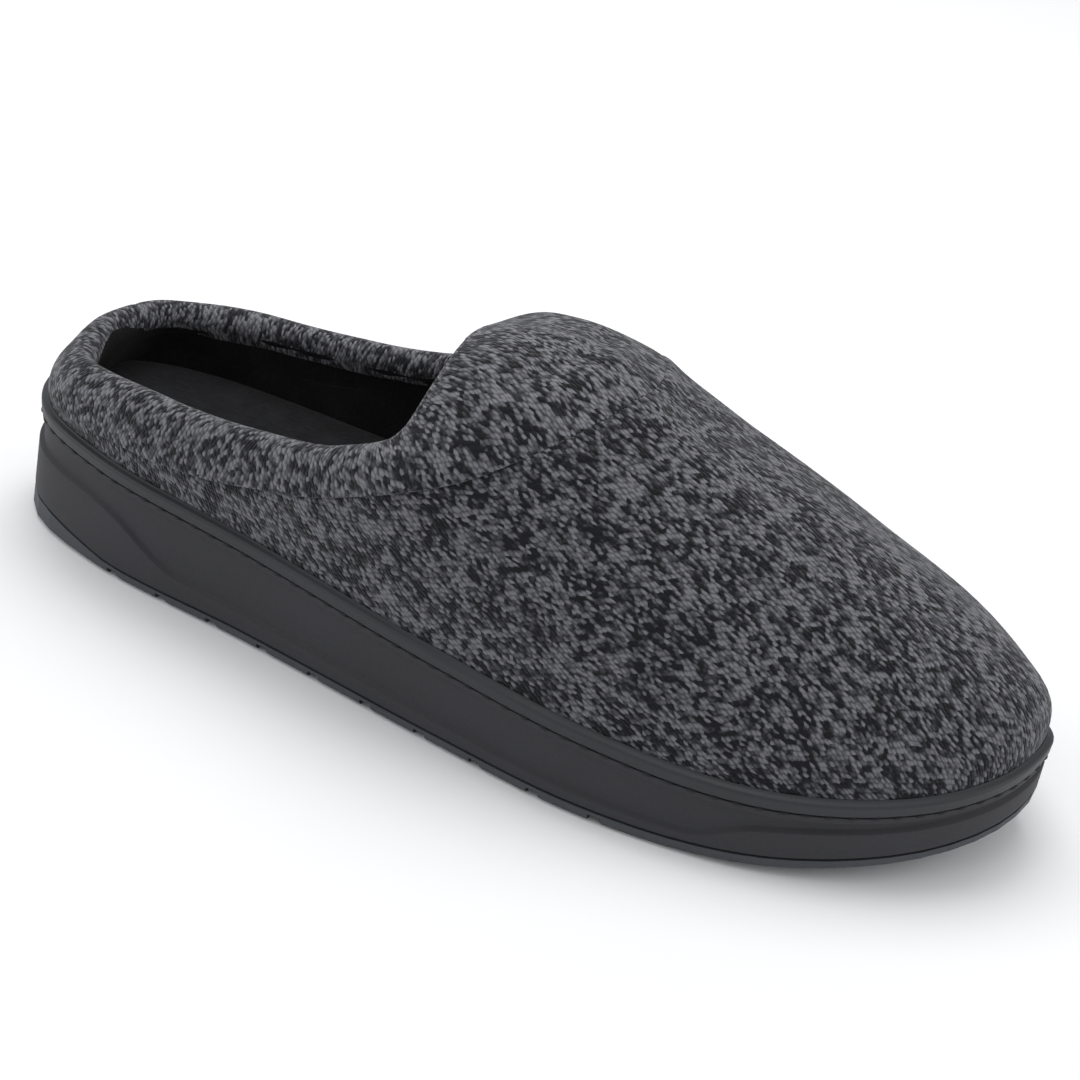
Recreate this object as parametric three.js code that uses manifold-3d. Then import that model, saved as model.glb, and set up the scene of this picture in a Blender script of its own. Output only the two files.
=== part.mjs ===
// Knitted slipper, right foot: a backless house shoe with a padded collar on a moulded foam sole.
// Millimetres, +Z up, toe towards +X, lateral side towards -Y. The sole stands on z = 0.
import * as THREE from 'three';
import { mergeVertices } from 'three/addons/utils/BufferGeometryUtils.js';
import Module from 'manifold-3d';

const wasm = await Module();
wasm.setup();

// Driving sizes of the sole
const SOLE_LENGTH = 291;
const BALL_WIDTH = 107.4;
const HEEL_STACK = 31.6;
const TOE_STACK = 13.5;
const TOE_SPRING = 10.7;
const SPRING_START = 0.7;
const TREAD_THICKNESS = 3;
const HEEL_WRAP = 3.6;
const TREAD_BEVEL = 1.2;
const SOLE_FLARE = 1.5;
const GROOVE_COUNT = 10;
const GROOVE_PITCH = 17.15;
const GROOVE_WIDTH = 3.5;
const GROOVE_DEPTH = 2.1;
const FIRST_GROOVE = 42.8;
const PANEL_RECESS = 1.3;
const LIP_HEIGHT = 1.5;
const LIP_SETBACK = 0.2;
const LIP_BEVEL = 0.6;
const LEDGE_HEIGHT = 0.9;
const FOAM_BEVEL = 0.5;

// Driving sizes of the upper, its edge roll and the footbed
const INSTEP_HEIGHT = 89;
const RAND_HEIGHT = 4.4;
const RAND_SWELL = 0.3;
const RAND_TUCK = 0.5;
const UPPER_INSET = 2;
const UPPER_WALL = 3;
const COLLAR_ROLL = 4.4;
const TONGUE_ROLL = 5.6;
const COLLAR_STEP = 1.3;
const COLLAR_TURN_IN = 4;
const FOOTBED_HEEL = 10;
const FOOTBED_TOE = 7;
const FOOTBED_DISH = 1.2;
const SHOULDER_INSET = 4;
const CROWN_INSET = 9;
const BOWL_INSET = 17;
const SEAT_GAP = 0.3;

// Fineness of the faceted surfaces
const STATIONS_PER_SIDE = 44;
const VAMP_LEVELS = 9;
const BAND_LEVELS = 3;
const LINING_LEVELS = 5;
const ROLL_STEPS = 6;
const RAND_STEPS = 4;
const OUTLINE_DIVISIONS = 1200;
const RIB_CROWDING = 0.3;
const PROBE = 0.004;
const SAME_PLACE = 0.00001;

const LATERAL = -1;
const MEDIAL = 1;
const UP = new THREE.Vector3(0, 0, 1);
const HALF_BALL = BALL_WIDTH / 2;

// Plan outline of the sole: along is a share of the length, lateral and medial of half the ball width.
const OUTLINE = [
  { along: 0.030, lateral: 0.345, medial: 0.365 },
  { along: 0.120, lateral: 0.578, medial: 0.605 },
  { along: 0.301, lateral: 0.728, medial: 0.708 },
  { along: 0.502, lateral: 0.915, medial: 0.815 },
  { along: 0.662, lateral: 0.998, medial: 1.000 },
  { along: 0.823, lateral: 0.890, medial: 0.970 },
  { along: 0.933, lateral: 0.570, medial: 0.735 },
  { along: 0.987, lateral: 0.185, medial: 0.345 },
];
const TOE_TIP_ASIDE = 0.22;

// Step in the sole's side, level as a share of the side's height; turn runs from heel 0 to toe 1.
const LEDGE = [
  { turn: 0.00, level: 0.70 },
  { turn: 0.10, level: 0.71 },
  { turn: 0.15, level: 0.69 },
  { turn: 0.18, level: 0.59 },
  { turn: 0.21, level: 0.42 },
  { turn: 0.24, level: 0.33 },
  { turn: 0.45, level: 0.33 },
  { turn: 0.68, level: 0.34 },
  { turn: 0.705, level: 0.38 },
  { turn: 0.735, level: 0.62 },
  { turn: 0.80, level: 0.72 },
  { turn: 1.00, level: 0.72 },
];

// Shares of the tread's wrap up the heel, and of the flare of the sole's foot beyond its top edge.
const TREAD_EDGE = [
  { turn: 0.00, rise: 0.85, flare: 1.00 },
  { turn: 0.08, rise: 1.00, flare: 0.85 },
  { turn: 0.13, rise: 0.45, flare: 0.65 },
  { turn: 0.17, rise: 0.00, flare: 0.55 },
  { turn: 0.30, rise: 0.00, flare: 0.35 },
  { turn: 0.42, rise: 0.00, flare: 0.00 },
  { turn: 0.52, rise: 0.00, flare: 0.30 },
  { turn: 0.62, rise: 0.00, flare: 0.95 },
  { turn: 0.72, rise: 0.00, flare: 0.60 },
  { turn: 0.82, rise: 0.00, flare: 0.10 },
  { turn: 1.00, rise: 0.00, flare: 0.00 },
];

// Seam under the collar band: along is a share of the length, lateral and medial of half the ball width,
// and the heights on the two sides of the instep height.
const SEAM = [
  { turn: 0.00, along: 0.021, lateral: 0.000, lateralHeight: 0.458, medial: 0.000, medialHeight: 0.458 },
  { turn: 0.05, along: 0.030, lateral: 0.264, lateralHeight: 0.458, medial: 0.276, medialHeight: 0.458 },
  { turn: 0.10, along: 0.062, lateral: 0.458, lateralHeight: 0.458, medial: 0.477, medialHeight: 0.458 },
  { turn: 0.17, along: 0.144, lateral: 0.596, lateralHeight: 0.463, medial: 0.605, medialHeight: 0.463 },
  { turn: 0.25, along: 0.241, lateral: 0.674, lateralHeight: 0.492, medial: 0.670, medialHeight: 0.492 },
  { turn: 0.32, along: 0.323, lateral: 0.730, lateralHeight: 0.554, medial: 0.708, medialHeight: 0.548 },
  { turn: 0.36, along: 0.369, lateral: 0.769, lateralHeight: 0.607, medial: 0.736, medialHeight: 0.596 },
  { turn: 0.42, along: 0.436, lateral: 0.806, lateralHeight: 0.711, medial: 0.764, medialHeight: 0.694 },
  { turn: 0.47, along: 0.479, lateral: 0.778, lateralHeight: 0.784, medial: 0.741, medialHeight: 0.766 },
  { turn: 0.52, along: 0.512, lateral: 0.696, lateralHeight: 0.846, medial: 0.670, medialHeight: 0.829 },
  { turn: 0.58, along: 0.541, lateral: 0.566, lateralHeight: 0.908, medial: 0.559, medialHeight: 0.892 },
  { turn: 0.66, along: 0.567, lateral: 0.399, lateralHeight: 0.966, medial: 0.442, medialHeight: 0.982 },
  { turn: 0.80, along: 0.586, lateral: 0.179, lateralHeight: 1.009, medial: 0.220, medialHeight: 1.017 },
  { turn: 1.00, along: 0.593, lateral: -0.015, lateralHeight: 1.020, medial: 0.015, medialHeight: 1.020 },
];

// Top line of the wall, in the same shares.
const TOP_LINE = [
  { turn: 0.00, along: 0.045, lateral: 0.000, lateralHeight: 0.590, medial: 0.000, medialHeight: 0.590 },
  { turn: 0.05, along: 0.053, lateral: 0.223, lateralHeight: 0.584, medial: 0.231, medialHeight: 0.594 },
  { turn: 0.10, along: 0.077, lateral: 0.399, lateralHeight: 0.583, medial: 0.413, medialHeight: 0.600 },
  { turn: 0.17, along: 0.148, lateral: 0.536, lateralHeight: 0.598, medial: 0.555, medialHeight: 0.606 },
  { turn: 0.25, along: 0.237, lateral: 0.615, lateralHeight: 0.616, medial: 0.622, medialHeight: 0.612 },
  { turn: 0.32, along: 0.326, lateral: 0.663, lateralHeight: 0.656, medial: 0.659, medialHeight: 0.640 },
  { turn: 0.36, along: 0.373, lateral: 0.685, lateralHeight: 0.706, medial: 0.674, medialHeight: 0.676 },
  { turn: 0.42, along: 0.418, lateral: 0.685, lateralHeight: 0.778, medial: 0.659, medialHeight: 0.753 },
  { turn: 0.47, along: 0.436, lateral: 0.652, lateralHeight: 0.840, medial: 0.620, medialHeight: 0.832 },
  { turn: 0.52, along: 0.443, lateral: 0.587, lateralHeight: 0.897, medial: 0.553, medialHeight: 0.893 },
  { turn: 0.58, along: 0.447, lateral: 0.507, lateralHeight: 0.946, medial: 0.466, medialHeight: 0.930 },
  { turn: 0.66, along: 0.449, lateral: 0.382, lateralHeight: 0.982, medial: 0.345, medialHeight: 0.955 },
  { turn: 0.80, along: 0.446, lateral: 0.196, lateralHeight: 0.994, medial: 0.149, medialHeight: 0.975 },
  { turn: 1.00, along: 0.443, lateral: 0.028, lateralHeight: 0.991, medial: -0.028, medialHeight: 0.991 },
];

// How each rib of the upper bows between sole and seam, in shares of the rib's own chord.
const BOW = [
  { turn: 0.00, foot: 0.33, bulge: 0.00, head: 0.33, lateralLift: 0.00, medialLift: 0.00, swell: 0.02 },
  { turn: 0.30, foot: 0.33, bulge: 0.00, head: 0.33, lateralLift: 0.00, medialLift: 0.00, swell: 0.10 },
  { turn: 0.45, foot: 0.35, bulge: 0.00, head: 0.35, lateralLift: 0.02, medialLift: 0.02, swell: 0.14 },
  { turn: 0.56, foot: 0.36, bulge: 0.00, head: 0.42, lateralLift: 0.15, medialLift: 0.22, swell: 0.12 },
  { turn: 0.66, foot: 0.20, bulge: 0.00, head: 0.42, lateralLift: 0.28, medialLift: 0.43, swell: 0.05 },
  { turn: 0.82, foot: 0.12, bulge: 0.03, head: 0.40, lateralLift: 0.24, medialLift: 0.32, swell: 0.00 },
  { turn: 1.00, foot: 0.17, bulge: 0.07, head: 0.40, lateralLift: 0.09, medialLift: 0.09, swell: 0.00 },
];

// How far the roll has grown from the collar's radius to the tongue's, as a share.
const ROLL = [
  { turn: 0.00, tongue: 0.0 },
  { turn: 0.40, tongue: 0.0 },
  { turn: 0.56, tongue: 0.5 },
  { turn: 0.70, tongue: 1.0 },
  { turn: 1.00, tongue: 1.0 },
];

// Closed smooth interpolation of a table column round the shoe.
// A turn of 0 is the heel, 1 the toe, and 1 to 2 comes back along the medial side.
function aroundShoe(rows, valueOf) {
  const knots = [];
  for (const row of rows) {
    knots.push({ turn: row.turn, value: valueOf(row, LATERAL) });
  }
  for (const row of rows.slice(1, -1).reverse()) {
    knots.push({ turn: 2 - row.turn, value: valueOf(row, MEDIAL) });
  }
  const count = knots.length;
  const knot = (index) => {
    const lap = Math.floor(index / count);
    const { turn, value } = knots[index - lap * count];
    return { turn: turn + 2 * lap, value };
  };
  const slope = (index) => {
    const before = knot(index - 1);
    const after = knot(index + 1);
    return (after.value - before.value) / (after.turn - before.turn);
  };
  return (turn) => {
    const wrapped = ((turn % 2) + 2) % 2;
    let index = count - 1;
    while (knots[index].turn > wrapped) {
      index -= 1;
    }
    const start = knot(index);
    const end = knot(index + 1);
    const span = end.turn - start.turn;
    const t = (wrapped - start.turn) / span;
    const rest = 1 - t;
    return start.value * (1 + 2 * t) * rest * rest
      + end.value * (3 - 2 * t) * t * t
      + slope(index) * span * t * rest * rest
      - slope(index + 1) * span * t * t * rest;
  };
}

function aroundSame(rows, column) {
  return aroundShoe(rows, (row) => row[column]);
}

function acrossShoe(row, side) {
  return side * row[side === LATERAL ? 'lateral' : 'medial'] * HALF_BALL;
}

function heightOnSide(row, side) {
  return row[side === LATERAL ? 'lateralHeight' : 'medialHeight'] * INSTEP_HEIGHT;
}

function liftOnSide(row, side) {
  return row[side === LATERAL ? 'lateralLift' : 'medialLift'];
}

// Heights of the sole over its length
function toeRise(along) {
  const share = Math.max(0, (along / SOLE_LENGTH - SPRING_START) / (1 - SPRING_START));
  return TOE_SPRING * share * share;
}

function soleTop(along) {
  return HEEL_STACK + (TOE_STACK - HEEL_STACK) * along / SOLE_LENGTH + toeRise(along);
}

// The outline as a closed curve, heel to toe along the lateral side and back along the medial side
function outlineCurve() {
  const point = (along, across) => new THREE.Vector3(along * SOLE_LENGTH, across * HALF_BALL, 0);
  const lateral = OUTLINE.map((row) => point(row.along, LATERAL * row.lateral));
  const medial = OUTLINE.map((row) => point(row.along, MEDIAL * row.medial)).reverse();
  const points = [point(0, 0), ...lateral, point(1, TOE_TIP_ASIDE), ...medial];
  const curve = new THREE.CatmullRomCurve3(points, true, 'centripetal');
  curve.arcLengthDivisions = OUTLINE_DIVISIONS;
  return curve;
}

const soleCurve = outlineCurve();
const toeArc = soleCurve.getLengths()[soleCurve.arcLengthDivisions / 2] / soleCurve.getLength();

// A point of the outline at a turn, moved inwards by an inset
function outlinePoint(turn, inset) {
  const wrapped = ((turn % 2) + 2) % 2;
  const arc = wrapped <= 1 ? wrapped * toeArc : 1 - (2 - wrapped) * (1 - toeArc);
  const place = soleCurve.getPointAt(arc);
  const tangent = soleCurve.getTangentAt(arc);
  return place.add(new THREE.Vector3(-tangent.y, tangent.x, 0).multiplyScalar(inset));
}

function outward(turn) {
  return outlinePoint(turn, -1).sub(outlinePoint(turn, 0));
}

const turns = [];
for (let step = 0; step < 2 * STATIONS_PER_SIDE; step += 1) {
  turns.push(step / STATIONS_PER_SIDE);
}

// A ring body: a closed section at each station, joined all the way round. Each face is split along one
// diagonal, or along the other when the section runs the opposite way to the ring it lies on.
function ringBody(sectionAt, opposite = false) {
  const sections = turns.map(sectionAt);
  const triangles = [];
  sections.forEach((section, index) => {
    const next = sections[(index + 1) % sections.length];
    section.forEach((corner, place) => {
      const after = (place + 1) % section.length;
      if (opposite) {
        triangles.push(corner, next[place], section[after]);
        triangles.push(next[place], next[after], section[after]);
      } else {
        triangles.push(corner, next[place], next[after]);
        triangles.push(corner, next[after], section[after]);
      }
    });
  });
  return bodyOf(triangles);
}

// A pad body: an open profile from bottom to top at each station, with a floor and a lid across
function padBody(profileAt) {
  const profiles = turns.map(profileAt);
  const count = profiles.length;
  const triangles = [];
  profiles.forEach((profile, index) => {
    const next = profiles[(index + 1) % count];
    for (let place = 0; place < profile.length - 1; place += 1) {
      triangles.push(profile[place], next[place], next[place + 1]);
      triangles.push(profile[place], next[place + 1], profile[place + 1]);
    }
  });
  const top = profiles[0].length - 1;
  for (let step = 0; step < STATIONS_PER_SIDE; step += 1) {
    const lateral = [profiles[step], profiles[step + 1]];
    const medial = [profiles[(count - step) % count], profiles[count - step - 1]];
    triangles.push(lateral[0][top], lateral[1][top], medial[1][top]);
    triangles.push(lateral[0][top], medial[1][top], medial[0][top]);
    triangles.push(lateral[0][0], medial[1][0], lateral[1][0]);
    triangles.push(lateral[0][0], medial[0][0], medial[1][0]);
  }
  return bodyOf(triangles);
}

// A geometry of triangles given by their corners, without the flat ones where sides meet
function bodyOf(corners) {
  const places = [];
  for (let index = 0; index < corners.length; index += 3) {
    const [a, b, c] = corners.slice(index, index + 3);
    if (Math.min(a.distanceTo(b), b.distanceTo(c), c.distanceTo(a)) > SAME_PLACE) {
      places.push(...a, ...b, ...c);
    }
  }
  const geometry = new THREE.BufferGeometry();
  geometry.setAttribute('position', new THREE.Float32BufferAttribute(places, 3));
  return mergeVertices(geometry, SAME_PLACE);
}

// The outer face of the upper: level 0 is the rand, 1 the collar seam, 2 the top line
const seamAlong = aroundSame(SEAM, 'along');
const seamAcross = aroundShoe(SEAM, acrossShoe);
const seamHeight = aroundShoe(SEAM, heightOnSide);
const topAlong = aroundSame(TOP_LINE, 'along');
const topAcross = aroundShoe(TOP_LINE, acrossShoe);
const topHeight = aroundShoe(TOP_LINE, heightOnSide);
const footPull = aroundSame(BOW, 'foot');
const footBulge = aroundSame(BOW, 'bulge');
const headPull = aroundSame(BOW, 'head');
const headLift = aroundShoe(BOW, liftOnSide);
const headSwell = aroundSame(BOW, 'swell');

function upperPoint(turn, level) {
  const foot = outlinePoint(turn, UPPER_INSET);
  foot.z = soleTop(foot.x) + RAND_HEIGHT;
  if (level <= 0) {
    foot.z += level * (RAND_HEIGHT - SEAT_GAP);
    return foot;
  }
  const seam = new THREE.Vector3(seamAlong(turn) * SOLE_LENGTH, seamAcross(turn), seamHeight(turn));
  const chord = foot.clone().sub(seam);
  const reach = chord.length();
  const descent = chord.clone();
  descent.addScaledVector(UP, headLift(turn) * reach);
  descent.addScaledVector(outward(turn), headSwell(turn) * reach);
  descent.normalize();
  if (level <= 1) {
    const low = foot.clone().addScaledVector(UP, footPull(turn) * reach)
      .addScaledVector(outward(turn), footBulge(turn) * reach);
    const high = seam.clone().addScaledVector(descent, headPull(turn) * reach);
    const share = level + RIB_CROWDING * level * (1 - level);
    return new THREE.CubicBezierCurve3(foot, low, high, seam).getPoint(share);
  }
  const top = new THREE.Vector3(topAlong(turn) * SOLE_LENGTH, topAcross(turn), topHeight(turn));
  const band = top.clone().sub(seam);
  const width = band.length();
  band.normalize();
  const climb = descent.clone().negate();
  const arrive = band.clone().multiplyScalar(2 * band.dot(climb)).sub(climb);
  const low = seam.clone().addScaledVector(climb, width / 3);
  const high = top.clone().addScaledVector(arrive, -width / 3);
  return new THREE.CubicBezierCurve3(seam, low, high, top).getPoint(level - 1);
}

function upperNormal(turn, level) {
  const below = upperPoint(turn, level - PROBE);
  const above = upperPoint(turn, Math.min(2, level + PROBE));
  const before = upperPoint(turn - PROBE, level);
  const after = upperPoint(turn + PROBE, level);
  return after.sub(before).cross(above.sub(below)).normalize();
}

// A point on the upper moved outwards from its outer face
function wallPoint(turn, level, offset) {
  const place = upperPoint(turn, level);
  if (level <= 0) {
    return place.addScaledVector(outward(turn), offset);
  }
  return place.addScaledVector(upperNormal(turn, level), offset);
}

function spread(first, last, count) {
  return Array.from({ length: count + 1 }, (_, step) => first + (last - first) * step / count);
}

// The level on the wall down to which the collar is turned in
function hemLevel(turn) {
  return 2 - COLLAR_TURN_IN / upperPoint(turn, 2).distanceTo(upperPoint(turn, 1));
}

// Upper: one shell from the sole to the top line, open at the collar and underneath
function upperSection(turn) {
  const outside = [-1, ...spread(0, 1, VAMP_LEVELS), ...spread(1, 2, BAND_LEVELS).slice(1)];
  const inside = [2, hemLevel(turn), ...spread(0, 1, LINING_LEVELS).reverse(), -1];
  return [
    ...outside.map((level) => wallPoint(turn, level, 0)),
    ...inside.map((level) => wallPoint(turn, level, -UPPER_WALL)),
  ];
}

// Collar: a padded band from the seam over the top line, turned in round a soft roll
const tongueShare = aroundSame(ROLL, 'tongue');

function collarSection(turn) {
  const radius = COLLAR_ROLL + (TONGUE_ROLL - COLLAR_ROLL) * tongueShare(turn);
  const normal = upperNormal(turn, 2);
  const along = upperPoint(turn + PROBE, 2).sub(upperPoint(turn - PROBE, 2)).normalize();
  const edge = normal.clone().cross(along).normalize();
  const centre = wallPoint(turn, 2, -UPPER_WALL / 2);
  const swell = radius - UPPER_WALL / 2 - COLLAR_STEP;
  const outside = spread(1, 2, BAND_LEVELS + 1).map((level) => {
    const share = level - 1;
    const soft = share * share * (3 - 2 * share);
    return wallPoint(turn, level, COLLAR_STEP + swell * soft);
  });
  const roll = spread(0, Math.PI, ROLL_STEPS).slice(1).map((angle) => centre.clone()
    .addScaledVector(normal, radius * Math.cos(angle))
    .addScaledVector(edge, radius * Math.sin(angle)));
  const turned = wallPoint(turn, hemLevel(turn), -radius - UPPER_WALL / 2);
  const inner = -UPPER_WALL - SEAT_GAP;
  const hem = wallPoint(turn, hemLevel(turn), inner);
  const overInside = wallPoint(turn, 2, inner).addScaledVector(edge, SEAT_GAP);
  const overOutside = wallPoint(turn, 2, SEAT_GAP).addScaledVector(edge, SEAT_GAP);
  const underneath = spread(2, 1, BAND_LEVELS).slice(1).map((level) => wallPoint(turn, level, SEAT_GAP));
  return [...outside, ...roll, turned, hem, overInside, overOutside, ...underneath];
}

// Rand: a half round piping on the sole's edge, wrapped round the foot of the upper
function randSection(turn) {
  const corner = (inset, lift) => {
    const place = outlinePoint(turn, inset);
    place.z = soleTop(place.x) + lift;
    return place;
  };
  const height = RAND_HEIGHT - SEAT_GAP;
  const inner = UPPER_INSET - SEAT_GAP;
  const round = spread(-Math.PI / 2, Math.PI / 2, RAND_STEPS).slice(1, -1).map((angle) => corner(
    -RAND_SWELL * Math.cos(angle),
    SEAT_GAP + height * (1 + Math.sin(angle)) / 2,
  ));
  return [
    corner(inner, SEAT_GAP),
    corner(RAND_TUCK, SEAT_GAP),
    ...round,
    corner(inner - RAND_TUCK, SEAT_GAP + height),
    corner(inner, SEAT_GAP + height),
  ];
}

// Midsole: foam unit with a proud lower band, a recessed panel above it and a thin lip at the top
const ledgeLevel = aroundSame(LEDGE, 'level');
const heelWrap = aroundSame(TREAD_EDGE, 'rise');
const soleFlare = aroundSame(TREAD_EDGE, 'flare');

// A point on the sole's side, which flares from its top edge down to the floor
function soleSide(turn, inset, height) {
  const edge = outlinePoint(turn, 0);
  const share = (height - toeRise(edge.x)) / (soleTop(edge.x) - toeRise(edge.x));
  const place = outlinePoint(turn, inset - SOLE_FLARE * soleFlare(turn) * (1 - share));
  place.z = height;
  return place;
}

function treadTop(turn, along) {
  return toeRise(along) + TREAD_THICKNESS + HEEL_WRAP * heelWrap(turn);
}

function midsoleProfile(turn) {
  const edge = outlinePoint(turn, 0);
  const floor = treadTop(turn, edge.x) + SEAT_GAP;
  const top = soleTop(edge.x);
  const ledge = toeRise(edge.x) + ledgeLevel(turn) * (top - toeRise(edge.x));
  return [
    soleSide(turn, FOAM_BEVEL, floor),
    soleSide(turn, 0, floor + FOAM_BEVEL),
    soleSide(turn, 0, ledge - LEDGE_HEIGHT / 2),
    soleSide(turn, PANEL_RECESS, ledge + LEDGE_HEIGHT / 2),
    soleSide(turn, PANEL_RECESS, top - LIP_HEIGHT - LIP_BEVEL),
    soleSide(turn, LIP_SETBACK, top - LIP_HEIGHT),
    soleSide(turn, LIP_SETBACK, top),
  ];
}

// Outsole: the tread layer, bevelled at its edge and wrapped up the heel
function outsoleProfile(turn) {
  const edge = outlinePoint(turn, 0);
  const floor = toeRise(edge.x);
  const top = treadTop(turn, edge.x);
  return [
    soleSide(turn, TREAD_BEVEL, floor),
    soleSide(turn, 0, floor + TREAD_BEVEL),
    soleSide(turn, 0, top),
  ];
}

function toManifold(geometry) {
  const vertProperties = geometry.getAttribute('position').array;
  const triVerts = geometry.getIndex().array;
  return new wasm.Manifold(new wasm.Mesh({ numProp: 3, vertProperties, triVerts }));
}

function fromManifold(solid) {
  const { vertProperties, triVerts } = solid.getMesh();
  const geometry = new THREE.BufferGeometry();
  geometry.setAttribute('position', new THREE.Float32BufferAttribute(vertProperties, 3));
  geometry.setIndex(new THREE.Uint32BufferAttribute(triVerts, 1));
  return geometry;
}

function outsoleBody() {
  let tread = toManifold(padBody(outsoleProfile));
  for (let groove = 0; groove < GROOVE_COUNT; groove += 1) {
    const bar = new THREE.BoxGeometry(GROOVE_WIDTH, 2 * BALL_WIDTH, 2 * GROOVE_DEPTH);
    bar.deleteAttribute('normal');
    bar.deleteAttribute('uv');
    bar.translate(FIRST_GROOVE + groove * GROOVE_PITCH, 0, 0);
    tread = tread.subtract(toManifold(mergeVertices(bar)));
  }
  return fromManifold(tread);
}

// Footbed: a soft pad that fills the bottom of the upper
function footbedProfile(turn) {
  const corner = (inset, lift) => {
    const place = outlinePoint(turn, UPPER_INSET + UPPER_WALL + SEAT_GAP + inset);
    place.z = soleTop(place.x) + lift;
    return place;
  };
  const thickness = FOOTBED_HEEL + (FOOTBED_TOE - FOOTBED_HEEL) * outlinePoint(turn, 0).x / SOLE_LENGTH;
  return [
    corner(0, SEAT_GAP),
    corner(0, RAND_HEIGHT - SEAT_GAP),
    corner(SHOULDER_INSET, thickness - FOOTBED_DISH),
    corner(CROWN_INSET, thickness),
    corner(BOWL_INSET, thickness - FOOTBED_DISH),
  ];
}

const finishes = {
  tread: new THREE.MeshStandardMaterial({ color: 0x2c2d32, roughness: 0.8, metalness: 0 }),
  foam: new THREE.MeshStandardMaterial({ color: 0x303034, roughness: 0.85, metalness: 0 }),
  piping: new THREE.MeshStandardMaterial({ color: 0x1f2024, roughness: 0.6, metalness: 0 }),
  knit: new THREE.MeshStandardMaterial({ color: 0x4b4c50, roughness: 0.95, metalness: 0 }),
  band: new THREE.MeshStandardMaterial({ color: 0x55565a, roughness: 0.95, metalness: 0 }),
  fleece: new THREE.MeshStandardMaterial({ color: 0x1c1c1f, roughness: 1, metalness: 0 }),
};

function named(name, geometry, material) {
  const mesh = new THREE.Mesh(geometry, material);
  mesh.name = name;
  return mesh;
}

const slipper = new THREE.Group();
slipper.add(
  named('outsole', outsoleBody(), finishes.tread),
  named('midsole', padBody(midsoleProfile), finishes.foam),
  named('rand', ringBody(randSection), finishes.piping),
  named('upper', ringBody(upperSection), finishes.knit),
  named('collar', ringBody(collarSection, true), finishes.band),
  named('footbed', padBody(footbedProfile), finishes.fleece),
);

// The origin is the middle of the footprint on the floor
const reach = new THREE.Box3().setFromObject(slipper);
const middle = reach.getCenter(new THREE.Vector3());
slipper.position.set(-middle.x, -middle.y, -reach.min.z);

export default slipper;
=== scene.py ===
"""The finish of a knitted slipper on a moulded foam sole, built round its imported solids.

Metres, toe towards +X, lateral side towards -Y, up +Z, standing on z = 0.
"""
import math

import bmesh
import bpy
from mathutils import Matrix, Vector, noise
from mathutils.bvhtree import BVHTree


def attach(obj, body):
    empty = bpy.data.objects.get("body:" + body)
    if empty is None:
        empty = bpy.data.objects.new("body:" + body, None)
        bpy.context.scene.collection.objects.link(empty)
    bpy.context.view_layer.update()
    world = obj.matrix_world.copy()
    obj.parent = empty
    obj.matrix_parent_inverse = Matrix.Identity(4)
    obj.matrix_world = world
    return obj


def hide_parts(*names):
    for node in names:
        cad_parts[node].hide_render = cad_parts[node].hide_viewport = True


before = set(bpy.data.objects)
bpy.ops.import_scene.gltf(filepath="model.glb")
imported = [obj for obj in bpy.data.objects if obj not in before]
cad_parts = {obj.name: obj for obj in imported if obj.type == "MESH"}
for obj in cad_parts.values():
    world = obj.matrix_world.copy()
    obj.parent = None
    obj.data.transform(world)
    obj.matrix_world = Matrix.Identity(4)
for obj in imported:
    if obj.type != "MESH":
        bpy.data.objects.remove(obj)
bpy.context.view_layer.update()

bl_info = {
    "name": "Knitted slipper",
    "version": (1, 0, 0),
    "blender": (4, 5, 0),
    "location": "3D View > Sidebar > Slipper",
    "description": "Builds the knit, fleece, piping and sole of a backless slipper round its solids",
    "category": "Object",
}

BODY = "root"
MM = 0.001

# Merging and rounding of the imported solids
MERGE_DISTANCE = 0.002 * MM
COARSE_LEVELS = 2
ROUNDING_PASSES = 3
REFINED_ROUNDNESS = 0.6
BEVEL_SEGMENTS = 2
BEVEL_PROFILE = 0.5

# The cloth maps: their name, how far from the heel's middle the cut may stray and how long they relax
CLOTH_MAP = "cloth"
HEEL_LINE = 0.8 * MM
STRETCH_PASSES = 60

# Turn of the rows of stitches against the stitches themselves
STAGGER = math.radians(24)

# The camera that took the photograph, in a square frame
FRAME_PIXELS = 1080
SENSOR_WIDTH = 36.0


class StageSizes(bpy.types.PropertyGroup):
    """Camera, floor and light."""

    azimuth: bpy.props.FloatProperty(
        name="Azimuth", description="How far the camera is turned from the lateral side towards the toe",
        default=math.radians(20.19), subtype="ANGLE", unit="ROTATION")
    elevation: bpy.props.FloatProperty(
        name="Elevation", description="How far the camera looks down",
        default=math.radians(30.44), subtype="ANGLE", unit="ROTATION")
    roll: bpy.props.FloatProperty(
        name="Roll", description="How far the camera leans about its own axis",
        default=math.radians(9.53), subtype="ANGLE", unit="ROTATION")
    distance: bpy.props.FloatProperty(
        name="Distance", description="From the camera to the middle of the slipper",
        default=0.6, unit="LENGTH")
    focal_pixels: bpy.props.FloatProperty(
        name="Focal length", description="Focal length in pixels of the square frame", default=2281.38)
    centre: bpy.props.FloatVectorProperty(
        name="Centre", description="Where the camera's axis meets the frame, in pixels",
        default=(522.18, 525.22), size=2)
    target: bpy.props.FloatVectorProperty(
        name="Target", description="The point that the camera's axis passes through",
        default=(0.00107, -0.00032, 0.040), size=3, subtype="XYZ", unit="LENGTH")
    floor_colour: bpy.props.FloatVectorProperty(
        name="Floor colour", description="Colour of the plain floor",
        default=(0.87, 0.87, 0.875), size=3, subtype="COLOR", min=0, max=1)
    floor_size: bpy.props.FloatProperty(
        name="Floor size", description="Side of the square floor", default=12.0, unit="LENGTH")


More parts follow.
